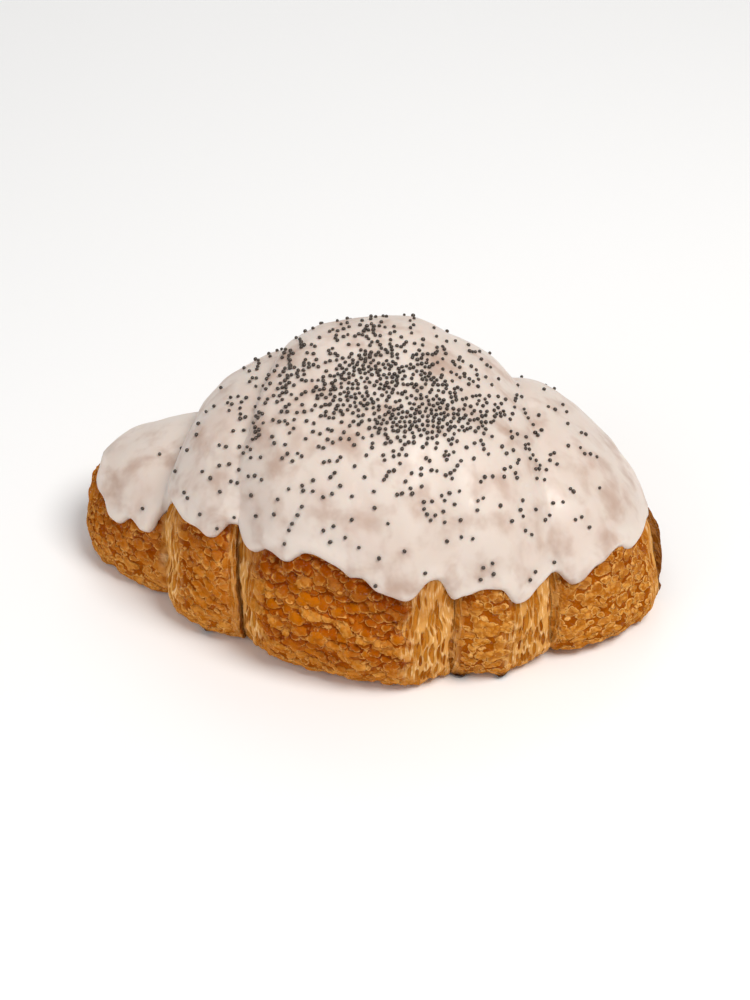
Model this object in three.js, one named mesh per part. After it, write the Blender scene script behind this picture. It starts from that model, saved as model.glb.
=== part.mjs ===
// A poppy seed roll: a mild crescent of laminated dough, rolled so that each wrap's edge stands proud of the next,
// with a poured coat of icing over its crown and poppy seeds sprinkled on the icing.
// Millimetres, +Z up. The origin is on the flat underside, below the middle wrap. +X runs along the roll, and the
// horns bend back towards +Y.
import * as THREE from "three";

// Spine: an arc in plan, centred behind the roll. Places along it are arc lengths from the middle, left negative.
const bendRadius = 192;

// Each wrap of dough, from the left horn's end to the right one's. A wrap runs from `from` to `to`, and its half width
// and height are given at both; `bulge` is how far its middle swells beyond a straight taper. Its outer lip, the cut
// edge of the dough, rolls off by `lipDrop` over `lipLength`, and by a part of that at the crown.
const wraps = [
  { from: -74, to: -42, halfWidth: [12, 25.5], height: [21, 36], bulge: 2.2, lipLength: 0, lipDrop: 0 },
  { from: -42, to: -22, halfWidth: [28.5, 37.5], height: [43, 56.5], bulge: 2.2, lipLength: 4, lipDrop: 3.5 },
  { from: -22, to: 22.5, halfWidth: [37, 49.5], height: [62.5, 62.5], bulge: 4.4, lipLength: 9, lipDrop: 5 },
  { from: 22.5, to: 43, halfWidth: [44, 42.5], height: [62, 48], bulge: 1.4, lipLength: 7, lipDrop: 4 },
  { from: 43, to: 72, halfWidth: [37, 22], height: [49, 24], bulge: 4.8, lipLength: 6, lipDrop: 4 },
  { from: 72, to: 79, halfWidth: [17, 11], height: [18, 13], bulge: 1.4, lipLength: 0, lipDrop: 0 },
];
const crownLip = 0.25; // the part of a lip's drop that is left at the crown
const hornRoundOff = 12; // length over which each horn rounds to its point
const leftEnd = wraps[0].from;
const rightEnd = wraps.at(-1).to;

// Cross-section: a dome on a short wall that tucks in to a flat underside.
const widestAt = 0.22; // height of the widest line, as a share of the section's height
const footTuck = 0.14; // how far the foot tucks in, as a share of the half width
const wallSquareness = 2.5; // superellipse powers of the dome: 2 is an ellipse
const crownSquareness = 2.05;
const hornCentreHeight = 0.4; // the horns round off about this share of their height

// Icing: its rims hang in drips on the walls, about the heights given at places along the spine.
const icingThickness = 1.3;
const icingLeft = -67;
const icingRight = 67;
const rimHeights = [[-74, 22], [-60, 19], [-42, 24], [-34, 35], [4, 36], [24, 31], [56, 26], [79, 30]];
const dripDepth = 2.6;
const touchGap = 0.5; // clearance kept between pieces that touch

// Seeds: the loose ones, apart from the dense drift on the crown.
const looseSeeds = 48;
const seedRadius = 0.6;
const sprinkleCentre = { along: 2, around: 0.46 * Math.PI };
const sprinkleReach = { inner: 27, outer: 58 };

// Fineness of the meshes
const stationSpacing = 3;
const creaseGap = 0.8; // from a lip's end to the first station of the next wrap
const domePoints = 19;
const footPoints = 4;
const icingPoints = 19;

const lerp = (a, b, t) => a + (b - a) * t;
const clamp01 = (t) => Math.min(1, Math.max(0, t));
const quarterRound = (t) => Math.sqrt(1 - (1 - clamp01(t)) ** 2);
const signedPower = (v, p) => Math.sign(v) * Math.abs(v) ** p;
const spread = (from, to, count) => Array.from({ length: count }, (_, i) => lerp(from, to, i / (count - 1)));

// Half width and height of the roll at a place along the spine.
function girthAt(along) {
  const wrap = wraps.find((w) => along <= w.to) ?? wraps.at(-1);
  const t = (along - wrap.from) / (wrap.to - wrap.from);
  const swell = wrap.bulge * 4 * t * (1 - t);
  const leftLip = wrap.from < 0 ? along - wrap.from : Infinity;
  const rightLip = wrap.to > 0 ? wrap.to - along : Infinity;
  const toLip = Math.min(leftLip, rightLip);
  const drop = toLip < wrap.lipLength ? wrap.lipDrop * (1 - toLip / wrap.lipLength) ** 2 : 0;
  return {
    halfWidth: lerp(...wrap.halfWidth, t) + swell - drop,
    height: lerp(...wrap.height, t) + swell - crownLip * drop,
  };
}

// How much of the section is left near the end of a horn: 1 away from it and 0 at its point.
const hornShare = (along) => quarterRound(Math.min(along - leftEnd, rightEnd - along) / hornRoundOff);

function shrinkToHorn(point, along, { height }) {
  const share = hornShare(along);
  const centre = hornCentreHeight * height;
  return new THREE.Vector2(point.x * share, centre + (point.y - centre) * share);
}

// A point of the dome's section: `around` runs from 0 on the front wall's widest line over the crown to pi at the back.
function domePoint(along, around) {
  const girth = girthAt(along);
  const widest = widestAt * girth.height;
  const point = new THREE.Vector2(
    -girth.halfWidth * signedPower(Math.cos(around), 2 / wallSquareness),
    widest + (girth.height - widest) * Math.abs(Math.sin(around)) ** (2 / crownSquareness),
  );
  return shrinkToHorn(point, along, girth);
}

// The foot's curve: turn 0 is the widest line, and a quarter turn the flat underside; side -1 is the front.
function footPoint(along, turn, side) {
  const girth = girthAt(along);
  const tuck = footTuck * girth.halfWidth;
  const point = new THREE.Vector2(
    side * (girth.halfWidth - tuck * (1 - Math.cos(turn))),
    widestAt * girth.height * (1 - Math.sin(turn)),
  );
  return shrinkToHorn(point, along, girth);
}

// Puts a point of a section into the room at a place along the spine.
function onSpine(along, point) {
  const heading = along / bendRadius;
  const reach = bendRadius - point.x;
  return new THREE.Vector3(reach * Math.sin(heading), bendRadius - reach * Math.cos(heading), point.y);
}

// A closed skin over rings of points, all of one even length. Each end is closed by strips across its ring.
function loft(rings) {
  const size = rings[0].length;
  const at = (ring, i) => ring * size + (i % size);
  const faces = [];
  const addQuad = (a, b, c, d) => faces.push(a, b, c, a, c, d);
  for (let ring = 0; ring < rings.length - 1; ring++) {
    for (let i = 0; i < size; i++) addQuad(at(ring, i), at(ring + 1, i), at(ring + 1, i + 1), at(ring, i + 1));
  }
  const last = rings.length - 1;
  for (let i = 0; i < size / 2 - 1; i++) {
    addQuad(at(0, i), at(0, i + 1), at(0, size - 2 - i), at(0, size - 1 - i));
    addQuad(at(last, i), at(last, size - 1 - i), at(last, size - 2 - i), at(last, i + 1));
  }
  const geometry = new THREE.BufferGeometry().setFromPoints(rings.flat());
  geometry.setIndex(faces);
  geometry.computeVertexNormals();
  return geometry;
}

// Stations along the spine, closer together at each wrap's two ends. The horns' very ends aren't among them.
function stationsAlong() {
  const found = [];
  for (const wrap of wraps) {
    const start = wrap.from === leftEnd ? leftEnd : wrap.from + creaseGap;
    const count = Math.round((wrap.to - start) / stationSpacing) + 1;
    for (const t of spread(0, 1, count)) found.push(lerp(start, wrap.to, (1 - Math.cos(Math.PI * t)) / 2));
  }
  return found.slice(1, -1);
}

function doughRing(along) {
  const front = spread(Math.PI / 2, 0, footPoints).map((turn) => footPoint(along, turn, -1));
  const dome = spread(0, Math.PI, domePoints).slice(1, -1).map((around) => domePoint(along, around));
  const back = spread(0, Math.PI / 2, footPoints).map((turn) => footPoint(along, turn, 1));
  const underside = spread(0, 1, 5).slice(1, -1).map((t) => back.at(-1).clone().lerp(front[0], t));
  return [...front, ...dome, ...back, ...underside].map((point) => onSpine(along, point));
}

const makeDough = () => loft(stationsAlong().map(doughRing));

// A point at a height over the dough's dome, square to its section. Where a horn rounds off, the height is stretched,
// because the surface slopes away from the section's plane there.
function aboveDome(along, around, height) {
  const step = 0.01;
  const ahead = domePoint(along, around + step);
  const run = ahead.sub(domePoint(along, around - step)).normalize();
  const point = domePoint(along, around);
  const offset = height / hornShare(along) ** 2;
  return onSpine(along, new THREE.Vector2(point.x - run.y * offset, point.y + run.x * offset));
}

function rimHeightAt(along) {
  const next = rimHeights.findIndex(([place]) => place > along);
  const [[from, low], [to, high]] = rimHeights.slice(next - 1, next + 1);
  return lerp(low, high, (along - from) / (to - from));
}

// Where the icing's rim lies around the section; side -1 is the front.
function rimAround(along, side) {
  const { height } = girthAt(along);
  const drips = Math.sin(along / 2.4 + side) + 0.7 * Math.sin(along / 1.5 + 2 * side);
  const lift = (rimHeightAt(along) + dripDepth * drips * 0.6 - widestAt * height) / (height * (1 - widestAt));
  return Math.asin(clamp01(lift) ** (crownSquareness / 2));
}

function icingRing(along) {
  const around = spread(rimAround(along, -1), Math.PI - rimAround(along, 1), icingPoints);
  const middle = (icingPoints - 1) / 2;
  const fullness = (i) => lerp(0.45, 1, quarterRound(middle - Math.abs(i - middle)));
  const outer = around.map((a, i) => aboveDome(along, a, touchGap + icingThickness * fullness(i)));
  const inner = around.map((a) => aboveDome(along, a, touchGap)).reverse();
  return [...outer, ...inner];
}

const makeIcing = () => loft(stationsAlong().filter((s) => s > icingLeft && s < icingRight).map(icingRing));

const doughFinish = new THREE.MeshStandardMaterial({ color: 0xb87426, roughness: 0.55, metalness: 0 });
const icingFinish = new THREE.MeshStandardMaterial({ color: 0xe9dccf, roughness: 0.35, metalness: 0 });
const seedFinish = new THREE.MeshStandardMaterial({ color: 0x2a2a30, roughness: 0.5, metalness: 0 });

function addPiece(group, name, geometry, finish) {
  const piece = new THREE.Mesh(geometry, finish);
  piece.name = name;
  group.add(piece);
  return piece;
}

// The loose seeds lie round the drift at steps of the golden angle, each resting on the icing.
function addLooseSeeds(group) {
  const goldenAngle = Math.PI * (3 - Math.sqrt(5));
  const restingHeight = touchGap + icingThickness + touchGap + seedRadius;
  for (let i = 0; i < looseSeeds; i++) {
    const turn = i * goldenAngle;
    const reach = lerp(sprinkleReach.inner, sprinkleReach.outer, i / looseSeeds);
    const along = sprinkleCentre.along + reach * Math.cos(turn);
    const around = sprinkleCentre.around + (reach * Math.sin(turn)) / (1.4 * girthAt(along).halfWidth);
    const seed = addPiece(group, `poppy_seed_${String(i + 1).padStart(2, "0")}`,
      new THREE.SphereGeometry(seedRadius, 6, 4), seedFinish);
    seed.scale.set(1, 0.85, 0.9);
    seed.rotation.z = turn;
    seed.position.copy(aboveDome(along, around, restingHeight));
  }
}

const roll = new THREE.Group();
addPiece(roll, "roll_pastry", makeDough(), doughFinish);
addPiece(roll, "icing", makeIcing(), icingFinish);
addLooseSeeds(roll);

export default roll;
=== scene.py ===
import math

import bpy
import numpy as np
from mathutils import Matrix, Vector
from mathutils.bvhtree import BVHTree


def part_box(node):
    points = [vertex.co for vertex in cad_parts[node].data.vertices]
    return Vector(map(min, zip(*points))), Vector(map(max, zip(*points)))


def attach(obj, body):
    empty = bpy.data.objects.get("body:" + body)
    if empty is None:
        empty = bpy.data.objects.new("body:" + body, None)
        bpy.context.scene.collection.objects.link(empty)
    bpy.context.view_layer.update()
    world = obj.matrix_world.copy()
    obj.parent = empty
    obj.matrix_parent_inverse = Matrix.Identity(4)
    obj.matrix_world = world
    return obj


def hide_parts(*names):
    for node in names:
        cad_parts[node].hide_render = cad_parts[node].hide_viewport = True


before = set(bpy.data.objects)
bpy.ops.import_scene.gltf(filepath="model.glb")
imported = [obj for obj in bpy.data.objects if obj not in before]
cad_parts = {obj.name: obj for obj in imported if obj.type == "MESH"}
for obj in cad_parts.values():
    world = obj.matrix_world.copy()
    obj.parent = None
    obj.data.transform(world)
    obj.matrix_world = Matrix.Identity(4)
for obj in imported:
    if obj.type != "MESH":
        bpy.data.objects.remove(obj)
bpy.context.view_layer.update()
mm = 0.001


# small helpers

def selectOnly(piece):
    bpy.ops.object.select_all(action="DESELECT")
    piece.select_set(True)
    bpy.context.view_layer.objects.active = piece


def ramp(low, high, value):
    # 0 below low, 1 above high and smooth between; low may be the larger one
    t = np.clip((value - low) / (high - low), 0, 1)
    return t * t * (3 - 2 * t)


def quarterRound(t):
    return np.sqrt(1 - (1 - np.clip(t, 0, 1)) ** 2)


def dice(cells, salt):
    # a steady random number from 0 to 1 for each whole-numbered cell
    cells = cells.astype(np.int64)
    n = cells[..., 0] * 73856093 ^ cells[..., 1] * 19349663 ^ cells[..., 2] * 83492791 ^ (salt * 2654435761)
    n = (n ^ (n >> 13)) * 1274126177 & 0x7fffffff
    n = (n ^ (n >> 16)) * 668265263 & 0x7fffffff
    return ((n ^ (n >> 15)) & 0xffffff) / 0xffffff


def cloud(points, size, salt, octaves=1):
    # soft noise from -1 to 1, with lumps about as large as size
    total = np.zeros(len(points))
    strength, reach = 1.0, 0.0
    for octave in range(octaves):
        p = points / size * 2 ** octave
        base = np.floor(p)
        f = p - base
        f = f * f * (3 - 2 * f)
        value = np.zeros(len(points))
        for corner in np.ndindex(2, 2, 2):
            weight = np.prod(np.where(np.array(corner) == 1, f, 1 - f), axis=1)
            value += weight * dice(base + corner, salt + octave)
        total += strength * (value * 2 - 1)
        reach += strength
        strength *= 0.5
    return total / reach


class Wires:
    # short names for the nodes that a finish or a relief is wired from
    def __init__(self, tree):
        self.tree = tree
        self.carving = tree.bl_idname == "GeometryNodeTree"

    def add(self, kind, **settings):
        node = self.tree.nodes.new(kind)
        for name, value in settings.items():
            setattr(node, name, value)
        return node

    def link(self, output, socket):
        self.tree.links.new(output, socket)

    def place(self):
        return self.add("ShaderNodeTexCoord").outputs["Object"]

    def mark(self, name, kind="FLOAT"):
        if self.carving:
            node = self.add("GeometryNodeInputNamedAttribute", data_type=kind)
            node.inputs["Name"].default_value = name
            return node.outputs["Attribute"]
        node = self.add("ShaderNodeAttribute", attribute_name=name)
        return node.outputs["Fac" if kind == "FLOAT" else "Vector"]

    def markPlace(self, name):
        return self.mark(name, "FLOAT_VECTOR")

    def flakes(self, vector, size, reach, vary=0.0):
        # rounded flakes about as large as size: a random number for each, how far inside its edge a point
        # lies (below 0 outside), where its middle lies, and how high the point lies above that
        node = self.add("ShaderNodeTexVoronoi", feature="F1")
        self.link(vector, node.inputs["Vector"])
        node.inputs["Scale"].default_value = 1 / size
        who = self.split(node.outputs["Color"])[0]
        away = self.add("ShaderNodeVectorMath", operation="SUBTRACT")
        self.link(vector, away.inputs[0])
        self.link(node.outputs["Position"], away.inputs[1])
        inside = self.sum("ADD", self.total((who, vary), (node.outputs["Distance"], -1.0)), reach)
        return {"who": who, "inside": inside, "middle": node.outputs["Position"],
                "rise": self.split(away.outputs["Vector"])[2]}

    def split(self, vector):
        node = self.add("ShaderNodeSeparateXYZ")
        self.link(vector, node.inputs[0])
        return node.outputs

    def ruffle(self, vector, size, amount):
        # shifts places about at random, so that straight borders come out ragged
        noise = self.add("ShaderNodeTexNoise")
        self.link(vector, noise.inputs["Vector"])
        noise.inputs["Scale"].default_value = 1 / size
        noise.inputs["Detail"].default_value = 2.0
        node = self.add("ShaderNodeVectorMath", operation="MULTIPLY_ADD")
        self.link(noise.outputs["Color"], node.inputs[0])
        node.inputs[1].default_value = (amount, amount, amount)
        self.link(vector, node.inputs[2])
        return node.outputs["Vector"]

    def noise(self, vector, scale, detail=3.0, roughness=0.55, distortion=0.0):
        node = self.add("ShaderNodeTexNoise")
        self.link(vector, node.inputs["Vector"])
        node.inputs["Scale"].default_value = scale
        node.inputs["Detail"].default_value = detail
        node.inputs["Roughness"].default_value = roughness
        node.inputs["Distortion"].default_value = distortion
        return node.outputs[0]

    def between(self, value, low, high, toLow=0.0, toHigh=1.0):
        node = self.add("ShaderNodeMapRange", interpolation_type="SMOOTHSTEP")
        self.link(value, node.inputs["Value"])
        for name, number in (("From Min", low), ("From Max", high), ("To Min", toLow), ("To Max", toHigh)):
            node.inputs[name].default_value = number
        return node.outputs["Result"]

    def sum(self, operation, a, b):
        node = self.add("ShaderNodeMath", operation=operation)
        for socket, value in zip(node.inputs, (a, b)):
            if isinstance(value, (int, float)):
                socket.default_value = value
            else:
                self.link(value, socket)
        return node.outputs["Value"]

    def total(self, *terms):
        # adds up pairs of a value and the number that it counts by
        result = 0.0
        for value, times in terms:
            result = self.sum("ADD", self.times(value, times), result)
        return result

    def times(self, *values):
        result = values[0]
        for value in values[1:]:
            result = self.sum("MULTIPLY", result, value)
        return result

    def less(self, value, times):
        # 1, less a value times a number
        return self.total((value, -times), (1.0, 1.0))

    def blend(self, share, a, b):
        # number a where the share is 0 and b where it is 1
        return self.sum("ADD", self.times(a, self.sum("SUBTRACT", 1.0, share)), self.times(b, share))

    def line(self, value, at, width):
        # 1 where the value is near at, 0 further off than width
        return self.between(self.sum("ABSOLUTE", self.sum("SUBTRACT", value, at), 0.0), width, 0.4 * width)

    def mix(self, share, a, b):
        # colour a where the share is 0 and b where it is 1
        node = self.add("ShaderNodeMix", data_type="RGBA")
        sockets = [s for s in node.inputs if s.type == "RGBA"]
        self.link(share, node.inputs["Factor"])
        for socket, value in zip(sockets, (a, b)):
            if isinstance(value, tuple):
                socket.default_value = (*value, 1)
            else:
                self.link(value, socket)
        return [s for s in node.outputs if s.type == "RGBA"][0]

    def bump(self, height, distance, strength=1.0, normal=None):
        node = self.add("ShaderNodeBump")
        self.link(height, node.inputs["Height"])
        node.inputs["Distance"].default_value = distance
        node.inputs["Strength"].default_value = strength
        if normal is not None:
            self.link(normal, node.inputs["Normal"])
        return node.outputs["Normal"]


# the shape of the roll, in millimetres, as the dough was rolled

roll = {
    "bendRadius": 192,  # of the spine, seen from above
    # from, to, half width at both ends, height at both ends, length and drop of the cut edge, bulge
    "wraps": [
        (-74, -42, 12, 25.5, 21, 36, 0.1, 0, 2.2),
        (-42, -22, 28.5, 37.5, 43, 56.5, 4, 3.5, 2.2),
        (-22, 22.5, 39.5, 49.5, 61.5, 64, 9, 5, 3.2),
        (22.5, 43, 44.5, 42.5, 62.5, 48, 8, 4.5, 1.4),
        (43, 72.5, 37, 22, 49, 21, 5, 2, 5.8),
        (72.5, 79, 17, 13, 16.5, 14, 0.1, 0, 1.0),
    ],
    "crownLip": 0.25,  # the part of a cut edge's drop that is left on the crown
    "leftRoundOff": 12, "rightRoundOff": 8,
    "widestAt": 0.24,  # as a share of the height
    "footTuck": 0.16,  # as a share of the half width
    "wallPower": 2.5, "crownPower": 2.05,  # of the dome's superellipse, where 2 is round
    "hornHeight": 0.4,  # the horns close at this share of the height
    "crevice": 0.05, "creviceWidth": 0.7,
    "rise": 1.0, "riseLength": 5.0,  # how much lower a wrap starts beside the cut edge that overlaps it
    "seamWave": 1.1, "seamWaveLength": 13,
}
leftEnd, rightEnd = roll["wraps"][0][0], roll["wraps"][-1][1]
farOff = 99.0


def girthAt(along, seams=1.0):
    # half width, height, and how far each place is from its wrap's cut edge; seams 0 leaves the valleys
    # unpressed
    halfWidth, height, toCut = np.zeros_like(along), np.zeros_like(along), np.full_like(along, farOff)
    for start, end, w0, w1, h0, h1, lip, drop, bulge in roll["wraps"]:
        here = (along >= start) & (along <= end)
        t = (along - start) / (end - start)
        swell = bulge * 4 * t * (1 - t)
        left = along - start
        right = end - along
        outer = np.minimum(left if start < 0 else farOff, right if end > 0 else farOff)
        inner = np.minimum(left if start > 0 else farOff, right if end < 0 else farOff)
        fall = drop * np.clip(1 - outer / lip, 0, 1) ** 1.25
        rise = seams * roll["rise"] * np.clip(1 - inner / roll["riseLength"], 0, 1) ** 2
        nearest = np.minimum(left if start > leftEnd else farOff, right if end < rightEnd else farOff)
        crack = seams * roll["crevice"] * np.exp(-(nearest / roll["creviceWidth"]) ** 2)
        w = w0 + (w1 - w0) * t + swell - fall - rise - crack
        h = h0 + (h1 - h0) * t + swell - roll["crownLip"] * (fall + rise + crack)
        halfWidth = np.where(here, w, halfWidth)
        height = np.where(here, h, height)
        toCut = np.where(here & (drop > 0), outer, toCut)
    return halfWidth, height, toCut


def softGirthAt(along, blur):
    # the girth as a thick coat sees it, with the steps between the wraps filled
    steps = np.linspace(-2.4, 2.4, 121)
    weights = np.exp(-steps ** 2)
    total = 0
    for step, weight in zip(steps, weights / weights.sum()):
        place = np.clip(along + step * blur, leftEnd, rightEnd)
        w, h, _ = girthAt(place, 0.0)
        total = total + weight * np.stack([w, h])
    return total


def hornShare(along):
    # how much of the section is left near a horn's end
    fromLeft = (along - leftEnd) / roll["leftRoundOff"]
    fromRight = (rightEnd - along) / roll["rightRoundOff"]
    return quarterRound(np.minimum(fromLeft, fromRight))


def sections(along, girth, points=260):
    # the outline of the roll at each place: (across, up) for points running from the front of the underside
    # up the front wall, over the crown, down the back wall and back along the underside
    halfWidth, height = girth[0][:, None], girth[1][:, None]
    turn = np.linspace(0, np.pi / 2, 24)[None, :]
    tuck = roll["footTuck"] * halfWidth
    low = roll["widestAt"] * height
    footAcross = halfWidth - tuck * (1 - np.cos(turn))
    footUp = low * (1 - np.sin(turn))
    around = np.linspace(0, np.pi, points)[None, 1:-1]
    domeAcross = -halfWidth * np.sign(np.cos(around)) * np.abs(np.cos(around)) ** (2 / roll["wallPower"])
    domeUp = low + (height - low) * np.abs(np.sin(around)) ** (2 / roll["crownPower"])
    under = np.linspace(0, 1, 12)[None, 1:-1]
    underAcross = footAcross[:, -1:] * (1 - 2 * under)
    across = np.hstack([-footAcross[:, ::-1], domeAcross, footAcross, underAcross])
    up = np.hstack([footUp[:, ::-1], domeUp, footUp, np.zeros_like(underAcross)])
    share = hornShare(along)[:, None]
    middle = roll["hornHeight"] * height
    return across * share, middle + (up - middle) * share


def onSpine(along, across, up):
    heading = along / roll["bendRadius"]
    reach = roll["bendRadius"] - across
    return np.stack([reach * np.sin(heading), roll["bendRadius"] - reach * np.cos(heading), up], axis=-1)


def seamWave(along, across, up):
    # the seams wander a little to the left and right
    still = onSpine(along[:, None], across, up).reshape(-1, 3)
    calm = ramp(0, 8, np.minimum(along - leftEnd, rightEnd - along))[:, None]
    wave = cloud(still, roll["seamWaveLength"], 2, 2).reshape(across.shape)
    return roll["seamWave"] * wave * calm


def evenPlaces(count, start, end):
    # places along the spine, evenly spaced over the surface, so the horns and the steps get more of them
    fine = np.linspace(start, end, 6000)
    w, h, _ = girthAt(fine)
    share = hornShare(fine)
    r = (w + h) / 2 * share
    length = np.concatenate([[0], np.cumsum(np.hypot(np.diff(fine), np.diff(r)))])
    return np.interp(np.linspace(0, length[-1], count), length, fine)


def addClosedSkin(name, rings, size):
    # a round ball to be pulled over the roll, with its poles at the horns' ends, and each point's ring and
    # its seat in that ring
    bpy.ops.object.select_all(action="DESELECT")
    bpy.ops.mesh.primitive_uv_sphere_add(segments=size, ring_count=rings + 1, radius=1, location=(0, 0, 0))
    ball = bpy.context.active_object
    ball.name = name
    places = np.empty(len(ball.data.vertices) * 3)
    ball.data.vertices.foreach_get("co", places)
    places = places.reshape(-1, 3)
    ring = np.rint(np.arccos(np.clip(places[:, 2], -1, 1)) / math.pi * (rings + 1)).astype(int)
    seat = np.rint(np.arctan2(places[:, 1], places[:, 0]) / (2 * math.pi) * size).astype(int) % size
    return ball, ring, seat


def pullOver(piece, places):
    piece.data.vertices.foreach_set("co", (places * mm).ravel())
    piece.data.update()


def setPlace(piece, name, places):
    mark = piece.data.attributes.new(name, "FLOAT_VECTOR", "POINT")
    mark.data.foreach_set("vector", places.astype(np.float32).ravel())


def setMark(piece, name, values):
    mark = piece.data.attributes.new(name, "FLOAT", "POINT")
    mark.data.foreach_set("value", values.astype(np.float32))


def meshNormals(piece):
    normals = np.empty(len(piece.data.vertices) * 3, np.float32)
    piece.data.vertex_normals.foreach_get("vector", normals)
    return normals.reshape(-1, 3).astype(float)


def closeAndSmooth(piece):
    selectOnly(piece)
    bpy.ops.object.mode_set(mode="EDIT")
    bpy.ops.mesh.select_all(action="SELECT")
    bpy.ops.mesh.normals_make_consistent(inside=False)
    bpy.ops.object.mode_set(mode="OBJECT")
    bpy.ops.object.shade_smooth()


# where the icing's rims hang

icingCoat = {
    "left": -69.3, "right": 74,
    "thickness": 1.25, "rimRound": 1.3, "bead": 0.55,
    # (along, height above the table), low where a drip hangs and high between drips
    "frontRim": [(-68, 26), (-66, 22), (-62.5, 21.5), (-57.5, 18.5), (-55.5, 18.5), (-52.5, 21.5),
                 (-51, 21.5), (-48.6, 20), (-46.6, 20.5), (-43, 26.5), (-40, 34), (-37.5, 34.5), (-35, 33),
                 (-31, 33.5), (-28.4, 32.5), (-26.4, 33.5), (-24, 37.5), (-22, 37.5), (-19.8, 34),
                 (-17.4, 33.5), (-15, 36.5), (-13.6, 36.7), (-11.2, 35.5), (-9.6, 36), (-7.5, 39), (-5, 39.3),
                 (-3, 38.5), (-0.5, 37.5), (2, 35.5), (5, 36), (8, 33), (11, 32), (13.4, 30.8), (14.8, 31.5),
                 (17.4, 35), (19, 35), (21.8, 28), (24, 29), (29, 30.5), (32, 30), (35, 25.5), (37, 25.5),
                 (40, 27), (42.8, 28), (44.6, 27.5), (47, 24), (48.8, 24.5), (52, 27.5), (57.5, 28.5),
                 (63, 25.5), (67, 25), (71, 22), (76, 19)],
    "backRim": [(-68, 23), (-61, 18), (-55, 21), (-50, 18), (-44, 23), (-38, 30), (-33, 27), (-27, 34),
                (-20, 31), (-14, 36), (-8, 33), (-2, 37), (5, 30), (12, 35), (18, 32), (23, 36), (30, 28),
                (36, 32), (42, 27), (48, 31), (54, 25), (61, 27), (66, 24), (71, 21), (76, 19)],
    "columns": 300, "outerRows": 128, "innerRows": 34,
    "endCrowding": 0.25,  # the share of the columns' spacing that crowds towards the two ends
    # how far in from a rim the first rows lie, where the coat is at least fullSpan wide
    "rimRows": [0, 0.12, 0.3, 0.55, 0.85, 1.2, 1.65, 2.2, 2.9, 3.7, 4.7], "fullSpan": 12,
    "steepness": 2.4,  # of the rim between a drip and the arch beside it
    "seamFill": {"left": 0.9, "right": 1.6},  # how far the coat evens out the steps between the wraps
    "leftRoundOff": 6, "rightRoundOff": 3.5,
    "bigWobble": 0.28, "smallWobble": 0.1,
    "beadFrom": 2.0, "beadWidth": 1.8,  # of the swelling just inside the rim
    "sunk": 0.6, "rimSunk": 0.25,  # how deep its inner face and its rim lie in the pastry
}


def rimHeight(knots, along):
    # lobes through the knots, all of it rounded off a little
    return sum(lobes(knots, along + step) for step in (-1.0, -0.5, 0.0, 0.5, 1.0)) / 5


def lobes(knots, along):
    # level at each knot and steep in between
    at, high = np.array(knots, float).T
    k = np.clip(np.searchsorted(at, along) - 1, 0, len(at) - 2)
    t = np.clip((along - at[k]) / (at[k + 1] - at[k]), 0, 1)
    power = icingCoat["steepness"]
    side = t ** power / (t ** power + (1 - t) ** power)
    return high[k] + (high[k + 1] - high[k]) * side


# the baked pastry

pastryShape = {
    "rings": 462, "around": 204,
    "wallTop": 40, "coarse": 0.2,  # above the wall and underneath the points lie further apart
    "bigLumps": 0.85, "smallLumps": 0.6, "footLumps": 0.9,
    # along, reach, and how far the drop stands out
    "burntDrops": [(24.6, 1.5, 1.3), (33.5, 1.2, 1.5), (-31, 1.0, 1.2)],
    "burntHeight": 0.8, "burntRise": 1.6,
    "undersideRelief": 0.3,
    "flakeTilt": -18, "flakeStretch": (0.8, 0.85, 1.0), "wander": 0.8,
    "layerWobble": 0.7, "layerStretch": 8,
    "tipFrom": 71.5, "tipTo": 72.6,
}


def respace(across, up):
    # the points of one section spaced again, closely on the walls, with the length of the outline up to each
    a, u = np.append(across, across[0]), np.append(up, up[0])
    steps = np.hypot(np.diff(a), np.diff(u))
    middleUp = (u[1:] + u[:-1]) / 2
    wall = (middleUp < pastryShape["wallTop"]) & (middleUp > 0.2)
    length = np.concatenate([[0], np.cumsum(steps)])
    weighted = np.concatenate([[0], np.cumsum(steps * np.where(wall, 1.0, pastryShape["coarse"]))])
    want = np.linspace(0, weighted[-1], pastryShape["around"] + 1)[:-1]
    return np.interp(want, weighted, a), np.interp(want, weighted, u), np.interp(want, weighted, length)


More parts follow.
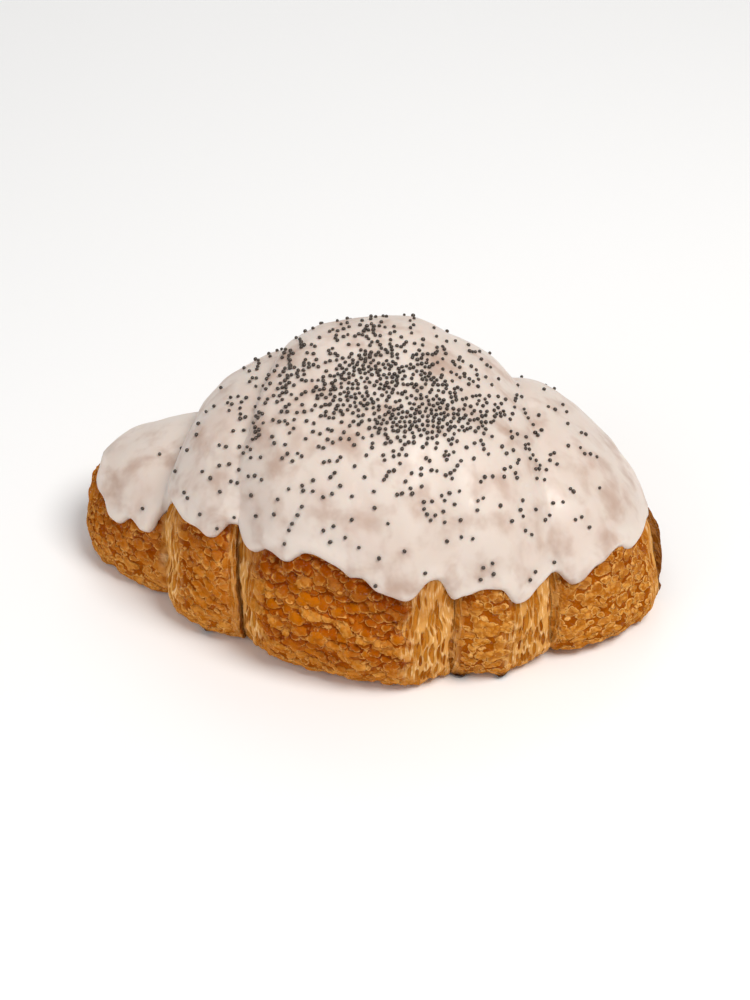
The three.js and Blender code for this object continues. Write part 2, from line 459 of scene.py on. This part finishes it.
def makePastry():
    shape = pastryShape
    piece, ring, seat = addClosedSkin("pastry", shape["rings"], shape["around"])
    inner = evenPlaces(shape["rings"] + 2, leftEnd, rightEnd)[1:-1]
    halfWidth, height, toCut = girthAt(inner)
    spaced = [respace(across, up) for across, up in zip(*sections(inner, (halfWidth, height)))]
    flatAcross, flatUp, climb = (np.array(columns) for columns in zip(*spaced))
    rings = onSpine(inner[:, None] + seamWave(inner, flatAcross, flatUp), flatAcross, flatUp)
    row = np.clip(ring - 1, 0, len(inner) - 1)
    places = rings[row, seat]
    leftPole, rightPole = ring == 0, ring == shape["rings"] + 1
    for pole, end in ((leftPole, leftEnd), (rightPole, rightEnd)):
        place = np.array([float(end)])
        places[pole] = onSpine(place, np.zeros(1), roll["hornHeight"] * girthAt(place)[1])[0]
    pullOver(piece, places)
    closeAndSmooth(piece)
    print("pastry pulled into shape:", len(ring), "points")
    along, toCut = inner[row], toCut[row]
    climb, front = climb[row, seat], flatAcross[row, seat] < 0
    # only the bare walls carry the crust's relief
    rim = np.where(front, rimHeight(icingCoat["frontRim"], along), rimHeight(icingCoat["backRim"], along))
    iced = ramp(1.5, 5, along - icingCoat["left"]) * ramp(-0.5, 2.5, icingCoat["right"] - along)
    level = places[:, 2]
    underside = shape["undersideRelief"]
    bare = 1 - iced * ramp(rim + 0.5, rim + 4, level)
    bare = bare * (underside + (1 - underside) * ramp(0.05, 1.8, level))
    bare = np.where(leftPole | rightPole, 0, bare)
    lumps = shape["bigLumps"] * cloud(places, 9, 3, 2) + shape["smallLumps"] * cloud(places, 4, 5, 2)
    lumps += shape["footLumps"] * cloud(places, 3.2, 83, 2) * ramp(6, 1, level)
    swell = lumps * bare
    burnt = np.zeros(len(places))
    for at, reach, out in shape["burntDrops"]:
        sideways, upwards = (along - at) / reach, (level - shape["burntHeight"]) / shape["burntRise"]
        spot = np.exp(-sideways ** 2 - upwards ** 2) * front
        burnt = np.maximum(burnt, spot)
        swell = swell + out * spot
    places = places + meshNormals(piece) * swell[:, None]
    places[:, 2] = np.maximum(places[:, 2], np.where(level < 0.15, level, 0.05))
    pullOver(piece, places)
    setMark(piece, "bare", bare)
    setMark(piece, "burnt", ramp(0.1, 0.5, burnt))
    # painted shade below the icing's rim, over the crust's darker amber there; strongest on the middle wrap
    setMark(piece, "rimShade", iced * ramp(12.0, 0.0, rim - level) * (0.45 + 0.55 * middleWrap(along)))
    markCrust(piece, places, along, climb, toCut, level)
    carve(piece)
    closeAndSmooth(piece)
    return piece


def middleWrap(along):
    # 1 on the middle wrap and 0 on the others
    return ramp(-24, -18, along) * ramp(22, 16, along)


def nearestSeam(along):
    seams = np.array([w[1] for w in roll["wraps"][:-1]], float)
    return np.min(np.abs(along[:, None] - seams[None, :]), axis=1)


def markCrust(piece, places, along, climb, toCut, level):
    # the marks that the crust's relief and its finish are laid out by
    shape = pastryShape
    tilt = math.radians(shape["flakeTilt"])
    rows = np.stack([places[:, 0] * math.cos(tilt) + places[:, 2] * math.sin(tilt), places[:, 1],
                     places[:, 2] * math.cos(tilt) - places[:, 0] * math.sin(tilt)], axis=1)
    wander = np.stack([cloud(places, 3.4, 40 + k, 2) for k in range(3)], axis=1)
    setPlace(piece, "flakePlace", rows * np.array(shape["flakeStretch"]) + shape["wander"] * wander)
    # the layers run up the cut edges, and round and round on the small end of the right horn
    wobble = shape["layerWobble"] * cloud(places, 9, 31, 2)
    axis = onSpine(along, np.zeros_like(along), roll["hornHeight"] * girthAt(along)[1])
    tip = ramp(shape["tipFrom"], shape["tipTo"], along)
    layers = np.where(tip > 0.5, np.linalg.norm(places - axis, axis=1), toCut) + wobble
    setPlace(piece, "layerPlace", np.stack([layers, climb / shape["layerStretch"], 5 * tip], axis=1))
    reach = np.where(along < 0, 5.5, np.where(along > 60, 4.0, 9.0))
    cutEdge = ramp(reach + 1.5, reach - 2.5, toCut + 2.2 * cloud(places, 4, 23, 2))
    cutEdge = np.maximum(cutEdge, 0.7 * ramp(2.4, 0.8, nearestSeam(along)))
    setMark(piece, "cutEdge", np.maximum(cutEdge, tip))
    setMark(piece, "tip", tip)
    patches = 0.08 + 0.92 * ramp(21, 26, along) + 0.32 * ramp(-20, -24, along) + 0.55 * ramp(15, 4, level)
    setMark(piece, "patchy", np.clip(patches, 0, 1))
    # painted shade: marks the valleys where the wraps meet, which the finish tints a little darker
    setMark(piece, "valley", ramp(1.6, 0.1, nearestSeam(along)))
    setMark(piece, "banded", 0.25 + 0.75 * middleWrap(along))
    setMark(piece, "foot", ramp(5.5, 0.5, level))


def carve(piece):
    # the same flakes that the finish is coloured by are raised and sunk in the mesh
    tree = bpy.data.node_groups.new("crust relief", "GeometryNodeTree")
    tree.interface.new_socket("Geometry", in_out="INPUT", socket_type="NodeSocketGeometry")
    tree.interface.new_socket("Geometry", in_out="OUTPUT", socket_type="NodeSocketGeometry")
    w = Wires(tree)
    start, end = w.add("NodeGroupInput"), w.add("NodeGroupOutput")
    move = w.add("GeometryNodeSetPosition")
    push = w.add("ShaderNodeVectorMath", operation="SCALE")
    w.link(w.add("GeometryNodeInputNormal").outputs["Normal"], push.inputs[0])
    w.link(w.times(crustRelief(w)["height"], w.mark("bare"), mm), push.inputs["Scale"])
    w.link(start.outputs[0], move.inputs["Geometry"])
    w.link(push.outputs["Vector"], move.inputs["Offset"])
    w.link(move.outputs["Geometry"], end.inputs[0])
    selectOnly(piece)
    modifier = piece.modifiers.new("crust relief", "NODES")
    modifier.node_group = tree
    bpy.ops.object.modifier_apply(modifier=modifier.name)
    print("crust carved")


crust = {
    # sizes in millimetres
    "upperFlake": 2.5, "lowerFlake": 2.1, "blister": 1.15, "layer": 0.68, "sheet": 0.4,
    "ruffleSize": 1.1, "ruffle": 0.9,
    "ledgeEvery": 8.5, "ledgeWave": 14, "ledge": 0.85,
    "upperStep": 0.34, "lowerStep": 0.24, "thinStep": 0.28, "ribStep": 0.34,
    "sunk": 0.35,
}


def crustRelief(w):
    # the height of the crust in millimetres, and the flakes and layers that the finish is laid out by
    place = w.ruffle(w.markPlace("flakePlace"), crust["ruffleSize"], crust["ruffle"])
    patchy, cut = w.mark("patchy"), w.mark("cutEdge")
    upper = w.flakes(place, crust["upperFlake"], w.total((patchy, -0.03), (1.0, 0.41)), 0.3)
    lower = w.flakes(place, crust["lowerFlake"], w.total((patchy, -0.1), (1.0, 0.5)), 0.2)
    blister = w.flakes(place, crust["blister"], 0.5)
    # domed flakes lie over one another in a few slanting ledges, and the lower edge of each stands proud
    over, under = w.between(upper["inside"], 0.0, 0.1), w.between(lower["inside"], 0.0, 0.1)
    high = w.total((over, crust["upperStep"]), (upper["who"], 0.2), (upper["inside"], 0.7),
                   (upper["rise"], -0.12))
    low = w.total((under, crust["lowerStep"]), (lower["who"], 0.15), (lower["inside"], 0.6),
                  (lower["rise"], -0.1), (1.0, -0.08))
    wave = w.noise(upper["middle"], 1 / crust["ledgeWave"], 1.0)
    climb = w.total((w.split(upper["middle"])[2], 1 / crust["ledgeEvery"]), (wave, 1.3))
    stack = w.times(w.sum("SUBTRACT", 1.0, w.sum("FRACT", climb, 0.0)), w.mark("banded"))
    domed = w.total((w.sum("MAXIMUM", high, low), 1.0), (stack, crust["ledge"]), (blister["inside"], 0.22))
    # thin flakes stand over smoother hollows where the crust is patchy
    cover = w.sum("MAXIMUM", over, under)
    thin = w.total((cover, crust["thinStep"]), (over, 0.1), (blister["inside"], 0.32))
    flaky = w.blend(patchy, domed, thin)
    # where the dough was cut, its layers show as long thin ribs
    layer = w.flakes(w.markPlace("layerPlace"), crust["layer"], 0.5, 0.15)
    ribs = w.total((w.between(layer["inside"], 0.2, 0.0), crust["ribStep"]), (layer["who"], 0.12))
    height = w.sum("SUBTRACT", w.blend(cut, flaky, ribs), crust["sunk"])
    return {"height": height, "upper": upper, "lower": lower, "over": over, "cover": cover, "layer": layer,
            "blister": blister, "stack": stack, "patchy": patchy, "cut": cut}


# the icing

def findRims(across, up, frontRim, backRim, closing):
    # the arc length to each point of a section's outline, and to the icing's two rims on it
    arc = np.concatenate([[0], np.cumsum(np.hypot(np.diff(across), np.diff(up)))])
    top = int(np.argmax(up))
    highest = up[top] - 1
    foot = int(np.argmin(np.where(np.arange(len(arc)) > top, np.abs(up - 2), farOff)))
    front = np.interp(min(frontRim, highest), up[:top + 1], arc[:top + 1])
    back = np.interp(min(backRim, highest), up[top:foot][::-1], arc[top:foot][::-1])
    return arc, arc[top] + (front - arc[top]) * closing, arc[top] + (back - arc[top]) * closing


def spreadRows(front, back):
    # the arc lengths of one column's rows, which crowd towards both rims
    span = back - front
    near = np.array(icingCoat["rimRows"]) * min(1, span / icingCoat["fullSpan"])
    between = icingCoat["outerRows"] - 2 * len(near)
    middle = np.linspace(near[-1], span - near[-1], between + 2)[1:-1]
    return front + np.concatenate([near, middle, (span - near)[::-1]])


def makeIcing():
    coat = icingCoat
    columns, outerRows, innerRows = coat["columns"], coat["outerRows"], coat["innerRows"]
    piece, ring, seat = addClosedSkin("icing_coat", columns, outerRows + innerRows)
    even = np.linspace(0, 1, columns + 2)
    crowded = (1 - np.cos(np.pi * even)) / 2
    t = coat["endCrowding"] * crowded + (1 - coat["endCrowding"]) * even
    inner = (coat["left"] + (coat["right"] - coat["left"]) * t)[1:-1]
    girth = softGirthAt(inner, np.where(inner < 0, coat["seamFill"]["left"], coat["seamFill"]["right"]))
    across, up = sections(inner, girth)
    fromLeft, fromRight = inner - coat["left"], coat["right"] - inner
    closing = quarterRound(np.minimum(fromLeft / coat["leftRoundOff"], fromRight / coat["rightRoundOff"]))
    sides = rimHeight(coat["frontRim"], inner), rimHeight(coat["backRim"], inner)
    arcs, front, back = zip(*(findRims(*column) for column in zip(across, up, *sides, closing)))
    rows = np.array([spreadRows(*rims) for rims in zip(front, back)])
    across = np.array([np.interp(*column) for column in zip(rows, arcs, across)])
    up = np.array([np.interp(*column) for column in zip(rows, arcs, up)])
    base = onSpine(inner[:, None] + seamWave(inner, across, up), across, up)
    normal = np.cross(np.gradient(base, axis=0), np.gradient(base, axis=1))
    normal /= np.maximum(np.linalg.norm(normal, axis=2, keepdims=True), 1e-9)
    if normal[columns // 2, outerRows // 2, 2] < 0:
        normal = -normal
    # how far each point is from the rim, with the coat laid flat: along the roll, and the arc length round it
    outline = np.vstack([np.stack([inner, front], 1), np.stack([inner, back], 1)[::-1]])
    outline = np.vstack([outline, outline[:1]])
    flat = np.stack([np.repeat(inner, outerRows), rows.ravel()], axis=1)
    toRim = distanceToLine(flat, outline).reshape(columns, outerRows)
    spots = base.reshape(-1, 3)
    wobble = cloud(spots, 11, 61, 2) * coat["bigWobble"] + cloud(spots, 4.5, 67, 2) * coat["smallWobble"]
    bead = coat["bead"] * np.exp(-((toRim - coat["beadFrom"]) / coat["beadWidth"]) ** 2)
    thick = coat["thickness"] + wobble.reshape(columns, outerRows) + bead
    thick = thick * quarterRound(toRim / coat["rimRound"])
    outer = base + normal * (thick - coat["rimSunk"] * ramp(1.0, 0.0, toRim))[..., None]
    pick = np.linspace(outerRows - 1, 0, innerRows + 2)[1:-1]
    pick = np.clip(np.rint(pick).astype(int), 1, outerRows - 2)
    under = base[:, pick] - normal[:, pick] * coat["sunk"]
    rings = np.concatenate([outer, under], axis=1)
    row = np.clip(ring - 1, 0, columns - 1)
    whole = rings[row, seat]
    thickness = np.concatenate([thick, np.zeros((columns, innerRows))], axis=1)[row, seat]
    for pole, end in ((ring == 0, 0), (ring == columns + 1, -1)):
        whole[pole] = rings[end, :outerRows].mean(axis=0)
    pullOver(piece, whole)
    setMark(piece, "thickness", thickness)
    closeAndSmooth(piece)
    print("icing poured:", len(ring), "points")
    return piece


def distanceToLine(points, line, batch=4000):
    # from each point to the nearest place on a line of straight pieces, a batch at a time to spare memory
    distance = np.empty(len(points))
    starts, runs = line[:-1], np.diff(line, axis=0)
    for first in range(0, len(points), batch):
        p = points[first:first + batch, None, :]
        t = np.clip(((p - starts) * runs).sum(2) / np.maximum((runs * runs).sum(1), 1e-9), 0, 1)
        gaps = np.linalg.norm(p - (starts + t[..., None] * runs), axis=2)
        distance[first:first + batch] = gaps.min(axis=1)
    return distance


# poppy seeds

seedDrift = {
    "seed": 11, "count": 920, "tries": 90000,
    # the middle of the drift and how far it spreads, along and across, and the part of the table tried
    "centre": (7.5, -9.5), "reach": (20.5, 16), "cutOff": 2.5, "field": ((-50, 62), (-52, 52)),
    "dense": 0.99, "stray": 0.003,  # the chance that a seed stays in the middle and far away
    "startsClump": 0.4, "joinsClump": 0.4, "clumpReach": 1.5,
    "length": 1.05, "lengthSpread": 0.07, "leanSpread": 0.35, "sunk": 0.12,
    "apart": 1.02, "looseApart": 0.1, "steepest": 0.12,
}


def oneSeed():
    # a small kidney: a ball, flattened, with a dent along one side
    bpy.ops.object.select_all(action="DESELECT")
    bpy.ops.mesh.primitive_uv_sphere_add(segments=8, ring_count=5, radius=0.5, location=(0, 0, 0))
    seed = bpy.context.active_object
    places = np.array([v.co[:] for v in seed.data.vertices])
    places = places[:, [2, 0, 1]] * np.array([1.0, 0.93, 0.88])
    dent = np.exp(-(places[:, 0] / 0.2) ** 2) * np.clip(places[:, 1], 0, 1)
    places[:, 1] -= 0.12 * dent + 0.12 * places[:, 0] ** 2 - 0.015
    faces = [tuple(p.vertices) for p in seed.data.polygons]
    bpy.data.objects.remove(seed)
    return places, faces


def sprinkle(icing, rng):
    # places on the icing where seeds lie, each with the way up there
    drift = seedDrift
    tree = BVHTree.FromObject(icing, bpy.context.evaluated_depsgraph_get())
    spots = []
    grid = {}
    gridStep = 1.5

    def fits(place, apart):
        cell = tuple(np.floor(place / gridStep).astype(int))
        for step in np.ndindex(3, 3, 3):
            for other in grid.get((cell[0] + step[0] - 1, cell[1] + step[1] - 1, cell[2] + step[2] - 1), ()):
                if np.linalg.norm(other - place) < apart:
                    return False
        grid.setdefault(cell, []).append(place)
        return True

    def rest(x, y):
        hit, normal, _, _ = tree.ray_cast(Vector((x * mm, y * mm, 0.2)), Vector((0, 0, -1)))
        if hit is None or normal.z < drift["steepest"]:
            return
        place = np.array(hit) / mm
        if fits(place, drift["apart"]):
            spots.append((place, np.array(normal)))

    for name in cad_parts:
        if name.startswith("poppy_seed"):
            low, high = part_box(name)
            middle = (low + high) / 2 / mm
            place, normal, _, _ = tree.find_nearest(Vector(middle * mm))
            place = np.array(place) / mm
            if fits(place, drift["looseApart"]):
                spots.append((place, np.array(normal)))
    loose = len(spots)
    # clumps: many seeds fell in small groups round a first one
    first = []
    for _ in range(drift["tries"]):
        if len(spots) - loose >= drift["count"]:
            break
        if first and rng.random() < drift["joinsClump"]:
            around = first[rng.integers(len(first))]
            x, y = around + rng.normal(0, drift["clumpReach"], 2)
        else:
            x, y = (rng.uniform(*limits) for limits in drift["field"])
        along = math.atan2(x, roll["bendRadius"] - y) * roll["bendRadius"]
        across = roll["bendRadius"] - math.hypot(x, roll["bendRadius"] - y)
        offAlong = (along - drift["centre"][0]) / drift["reach"][0]
        offAcross = (across - drift["centre"][1]) / drift["reach"][1]
        u = math.hypot(offAlong, offAcross)
        if rng.random() < drift["dense"] * math.exp(-0.5 * u * u) * (u < drift["cutOff"]) + drift["stray"]:
            if rng.random() < drift["startsClump"]:
                first.append(np.array([x, y]))
            rest(x, y)
    return spots


def makeSeeds(icing):
    drift = seedDrift
    rng = np.random.default_rng(drift["seed"])
    spots = sprinkle(icing, rng)
    shape, faces = oneSeed()
    allPlaces, allFaces, tones = [], [], []
    for i, (place, normal) in enumerate(spots):
        side = np.cross(normal, rng.normal(size=3))
        side /= np.linalg.norm(side)
        third = np.cross(normal, side)
        lean = rng.normal(0, drift["leanSpread"])
        up = normal * math.cos(lean) + third * math.sin(lean)
        third = np.cross(up, side)
        scale = drift["length"] * rng.normal(1.0, drift["lengthSpread"])
        height = scale * 0.4 - drift["sunk"] * scale
        turned = shape[:, :1] * side + shape[:, 1:2] * third + shape[:, 2:] * up
        allPlaces.append(place + normal * height + scale * turned)
        allFaces += [tuple(k + len(shape) * i for k in face) for face in faces]
        tones.append(np.full(len(shape), rng.random()))
    mesh = bpy.data.meshes.new("poppy_seeds")
    mesh.from_pydata((np.vstack(allPlaces) * mm).tolist(), [], allFaces)
    piece = bpy.data.objects.new("poppy_seeds", mesh)
    bpy.context.scene.collection.objects.link(piece)
    setMark(piece, "seedTone", np.concatenate(tones))
    closeAndSmooth(piece)
    print("seeds sprinkled:", len(spots))
    return piece


# finishes

def newFinish(name):
    finish = bpy.data.materials.new(name)
    finish.use_nodes = True
    return finish, finish.node_tree.nodes["Principled BSDF"]


crustColours = {
    "burnt": (0.03, 0.008, 0.003),
    "scorched": ((0.12, 0.026, 0.001), (0.21, 0.056, 0.004)),
    "underRimShade": (0.19, 0.024, 0.0), "shadow": (0.2, 0.03, 0.0), "deep": (0.27, 0.04, 0.0),
    "grain": (0.36, 0.09, 0.002), "valley": (0.36, 0.1, 0.003),
    "bare": ((0.31, 0.068, 0.001), (0.44, 0.112, 0.003)),
    "amber": (0.39, 0.074, 0.0), "gold": (0.5, 0.128, 0.0),
    "tan": ((0.51, 0.165, 0.01), (0.73, 0.315, 0.058)),
    "pale": (0.84, 0.4, 0.1), "palest": (0.9, 0.46, 0.13),
    "hollow": ((0.32, 0.075, 0.001), (0.56, 0.2, 0.02)), "ridge": ((0.78, 0.38, 0.1), (1.0, 0.64, 0.3)),
    "layerPatch": (0.52, 0.17, 0.01), "layerUnderRimShade": (0.26, 0.06, 0.001),
}


def flakeColour(w, relief, broad, tan):
    # darker brown in the gaps, amber on the flakes, and tan on the thin flakes of the patchy parts, with
    # painted shadow below each ledge and painted shade under the icing's rim
    hue, stack, patchy = crustColours, relief["stack"], relief["patchy"]
    tone = w.mix(w.between(relief["upper"]["who"], 0.3, 0.9), hue["amber"], hue["gold"])
    colour = w.mix(relief["cover"], hue["deep"], hue["amber"])
    colour = w.mix(relief["over"], colour, tone)
    colour = w.mix(w.between(broad, 0.48, 0.7, 0.0, 0.5), colour, hue["gold"])
    colour = w.mix(w.between(stack, 0.58, 0.86, 0.0, 0.8), colour, tan)
    # painted shadow: darker just below the proud lower edge of each ledge, on the banded parts
    colour = w.mix(w.times(w.between(stack, 0.22, 0.05, 0.0, 0.5), w.mark("banded")), colour, hue["deep"])
    bare = w.mix(w.between(broad, 0.4, 0.6), *hue["bare"])
    colour = w.mix(patchy, colour, w.mix(relief["cover"], bare, tan))
    grains = w.between(relief["blister"]["inside"], 0.06, -0.12, 0.0, 0.55)
    colour = w.mix(w.times(grains, patchy), colour, hue["grain"])
    # painted shade under the icing's rim, over the darker amber crust there
    return w.mix(w.times(w.mark("rimShade"), 0.8), colour, hue["underRimShade"])


def flakeRims(w, relief):
    # where the pale rims lie, brightest along the lower edges; the patches are only rimmed all round. Also
    # the painted light that pales each flake towards its lower edge, and the painted shadow just below it
    upper, lower, patchy = relief["upper"], relief["lower"], relief["patchy"]
    below = w.between(upper["rise"], 0.7, -0.4)
    own = w.times(w.line(upper["inside"], 0.06, 0.07), below)
    uncovered = w.sum("SUBTRACT", 1.0, relief["over"])
    lowerBelow = w.times(w.between(lower["rise"], 0.6, -0.4, 0.0, 0.7), uncovered)
    own = w.sum("MAXIMUM", own, w.times(w.line(lower["inside"], 0.06, 0.07), lowerBelow))
    outer = w.line(w.sum("MAXIMUM", upper["inside"], lower["inside"]), 0.06, 0.075)
    rims = w.sum("ADD", w.times(own, w.less(patchy, 0.75)), w.times(outer, patchy))
    broken = w.between(w.noise(w.place(), 420, 2), 0.38, 0.56, 0.2, 1.0)
    # the pale rims are dimmed in the painted shade under the icing's rim
    rims = w.times(rims, broken, w.less(w.mark("rimShade"), 0.6))
    # the upper flakes grow paler towards their lower edges only: partly the thin edges' own paler colour,
    # partly painted light, with their upper edges left as if in the shade of the flake above
    paleEdgeAndLight = w.times(w.between(upper["inside"], 0.32, 0.05, 0.0, 0.45), relief["over"], below)
    shadow = w.times(w.line(upper["inside"], -0.05, 0.06), w.between(upper["rise"], 0.2, -0.4, 0.0, 0.65),
                     w.less(patchy, 0.8))
    return rims, paleEdgeAndLight, shadow


def layerColour(w, layer, sheet, broad):
    # the layers of the cut edge
    hue = crustColours
    hollow = w.mix(w.between(layer["who"], 0.1, 0.9), *hue["hollow"])
    ridge = w.mix(w.between(sheet["inside"], 0.0, 0.3), *hue["ridge"])
    layered = w.mix(w.between(layer["inside"], 0.17, 0.03), hollow, ridge)
    layered = w.mix(w.between(broad, 0.46, 0.62, 0.0, 0.45), layered, hue["layerPatch"])
    # painted shade under the icing's rim on the layers too
    return w.mix(w.times(w.mark("rimShade"), 0.45), layered, hue["layerUnderRimShade"])


def crustFinish():
    finish, shader = newFinish("baked crust")
    w, hue = Wires(finish.node_tree), crustColours
    relief = crustRelief(w)
    layer = relief["layer"]
    place = w.place()
    fine, speck, broad = w.noise(place, 1500, 3, 0.6), w.noise(place, 2400, 2, 0.6), w.noise(place, 130, 3)
    tan = w.mix(w.between(w.noise(place, 520, 3, 0.6), 0.36, 0.62), *hue["tan"])
    rims, paleEdgeAndLight, shadow = flakeRims(w, relief)
    colour = w.mix(paleEdgeAndLight, flakeColour(w, relief, broad, tan), tan)
    colour = w.mix(shadow, colour, hue["shadow"])
    colour = w.mix(rims, colour, w.mix(relief["patchy"], hue["pale"], hue["palest"]))
    sheet = w.flakes(w.ruffle(w.markPlace("layerPlace"), 2.0, 0.3), crust["sheet"], 0.5)
    colour = w.mix(relief["cut"], colour, layerColour(w, layer, sheet, broad))
    # painted shade: a faint darker tint in the valleys between the wraps
    colour = w.mix(w.times(w.mark("valley"), 0.15), colour, hue["valley"])
    scorched = w.mix(w.between(layer["inside"], 0.2, 0.0), *hue["scorched"])
    colour = w.mix(w.times(w.mark("tip"), 0.88), colour, scorched)
    colour = w.mix(w.times(w.mark("foot"), 0.5), colour, tan)
    colour = w.mix(w.mark("burnt"), colour, hue["burnt"])
    w.link(colour, shader.inputs["Base Color"])
    # small glints of butter
    w.link(w.between(speck, 0.61, 0.68, 0.5, 0.15), shader.inputs["Roughness"])
    w.link(w.between(speck, 0.61, 0.68, 0.0, 0.7), shader.inputs["Specular IOR Level"])
    shine = w.times(w.between(speck, 0.6, 0.65), w.total((w.mark("rimShade"), 0.8), (1.0, 0.15)))
    w.link(shine, shader.inputs["Coat Weight"])
    edges = w.total((relief["height"], 1.0), (rims, 0.1), (w.times(sheet["inside"], relief["cut"]), 0.2))
    normal = w.bump(edges, 0.001, 0.9)
    normal = w.bump(fine, 0.0003, 0.3, normal)
    normal = w.bump(speck, 0.0002, 0.5, normal)
    w.link(normal, shader.inputs["Normal"])
    shader.inputs["Coat Roughness"].default_value = 0.1
    shader.inputs["Subsurface Weight"].default_value = 0.06
    shader.inputs["Subsurface Radius"].default_value = (1.0, 0.3, 0.05)
    shader.inputs["Subsurface Scale"].default_value = 0.001
    return finish


def icingFinish():
    finish, shader = newFinish("sugar icing")
    w = Wires(finish.node_tree)
    place = w.place()
    mottle = w.between(w.noise(place, 135, 3, 0.5, 0.2), 0.43, 0.78)
    blush = w.between(w.noise(place, 60, 2, 0.5), 0.45, 0.7)
    thin = w.between(w.mark("thickness"), 1.5, 0.9)
    colour = w.mix(mottle, (0.76, 0.66, 0.588), (0.52, 0.37, 0.295))
    colour = w.mix(w.times(blush, 0.25), colour, (0.66, 0.47, 0.39))
    colour = w.mix(w.times(thin, 0.3), colour, (0.58, 0.42, 0.33))
    w.link(colour, shader.inputs["Base Color"])
    rough = w.between(w.noise(place, 220, 3), 0.3, 0.7, 0.38, 0.52)
    w.link(rough, shader.inputs["Roughness"])
    grain = w.noise(place, 420, 3, 0.5)
    w.link(w.bump(grain, 0.0002, 0.12), shader.inputs["Normal"])
    shader.inputs["Subsurface Weight"].default_value = 0.45
    shader.inputs["Subsurface Radius"].default_value = (1.0, 0.65, 0.45)
    shader.inputs["Subsurface Scale"].default_value = 0.0022
    shader.inputs["Coat Weight"].default_value = 0.1
    shader.inputs["Coat Roughness"].default_value = 0.35
    return finish


def seedFinish():
    finish, shader = newFinish("poppy seed skin")
    w = Wires(finish.node_tree)
    place = w.place()
    colour = w.mix(w.mark("seedTone"), (0.011, 0.008, 0.006), (0.036, 0.025, 0.02))
    net = w.add("ShaderNodeTexVoronoi", feature="DISTANCE_TO_EDGE")
    w.link(place, net.inputs["Vector"])
    net.inputs["Scale"].default_value = 5200
    w.link(colour, shader.inputs["Base Color"])
    w.link(w.bump(net.outputs["Distance"], 0.00005, 0.4), shader.inputs["Normal"])
    shader.inputs["Roughness"].default_value = 0.3
    shader.inputs["Specular IOR Level"].default_value = 0.9
    shader.inputs["Specular Tint"].default_value = (1.0, 0.86, 0.76, 1)
    return finish


def floorFinish():
    finish, shader = newFinish("plain floor")
    shader.inputs["Base Color"].default_value = (0.96, 0.96, 0.96, 1)
    shader.inputs["Roughness"].default_value = 0.8
    return finish


# the object

pastry = makePastry()
icing = makeIcing()
seeds = makeSeeds(icing)

for piece, finish in ((pastry, crustFinish()), (icing, icingFinish()), (seeds, seedFinish())):
    piece.data.materials.clear()
    piece.data.materials.append(finish)

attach(pastry, "root")
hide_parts("roll_pastry")
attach(icing, "root")
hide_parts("icing")
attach(seeds, "root")
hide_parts(*sorted(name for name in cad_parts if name.startswith("poppy_seed")))

# floor, light and camera

bpy.ops.object.select_all(action="DESELECT")
bpy.ops.mesh.primitive_plane_add(size=6, location=(0, 0, -0.0003))
floor = bpy.context.active_object
floor.name = "floor"
floor.data.materials.append(floorFinish())

world = bpy.data.worlds.new("soft room")
bpy.context.scene.world = world
world.use_nodes = True
world.node_tree.nodes["Background"].inputs["Color"].default_value = (1, 1, 1, 1)
world.node_tree.nodes["Background"].inputs["Strength"].default_value = 0.32

lights = [
    # name, place, size, power, colour
    ("window", (0.35, -0.25, 0.8), 0.4, 6.0, (1, 0.98, 0.95)),
    ("fill", (-0.6, -0.5, 0.45), 0.7, 1.6, (0.97, 0.98, 1)),
    ("behind", (-0.1, 0.6, 0.6), 0.6, 1.0, (1, 1, 1)),
]
for name, place, size, power, colour in lights:
    bpy.ops.object.light_add(type="AREA", location=place)
    lamp = bpy.context.active_object
    lamp.name = name
    lamp.data.shape = "DISK"
    lamp.data.size = size
    lamp.data.energy = power
    lamp.data.color = colour
    lamp.rotation_euler = (Vector((0, 0, 0.03)) - Vector(place)).to_track_quat("-Z", "Y").to_euler()

view = {"azimuth": 6.45, "elevation": 38.24, "distance": 0.6, "target": (0, 0.012, 0.028),
        "aim": (0.0036, 0.005, 0.0187), "lens": 83.25}
azimuth, elevation = math.radians(view["azimuth"]), math.radians(view["elevation"])
sideways = math.cos(elevation)
back = Vector((math.sin(azimuth) * sideways, -math.cos(azimuth) * sideways, math.sin(elevation)))
bpy.ops.object.camera_add(location=Vector(view["target"]) + back * view["distance"])
camera = bpy.context.active_object
camera.rotation_euler = (Vector(view["aim"]) - camera.location).to_track_quat("-Z", "Y").to_euler()
camera.data.lens = view["lens"]
camera.data.sensor_width = 36
camera.data.clip_start = 0.01
bpy.context.scene.camera = camera
bpy.context.scene.view_settings.view_transform = "Standard"
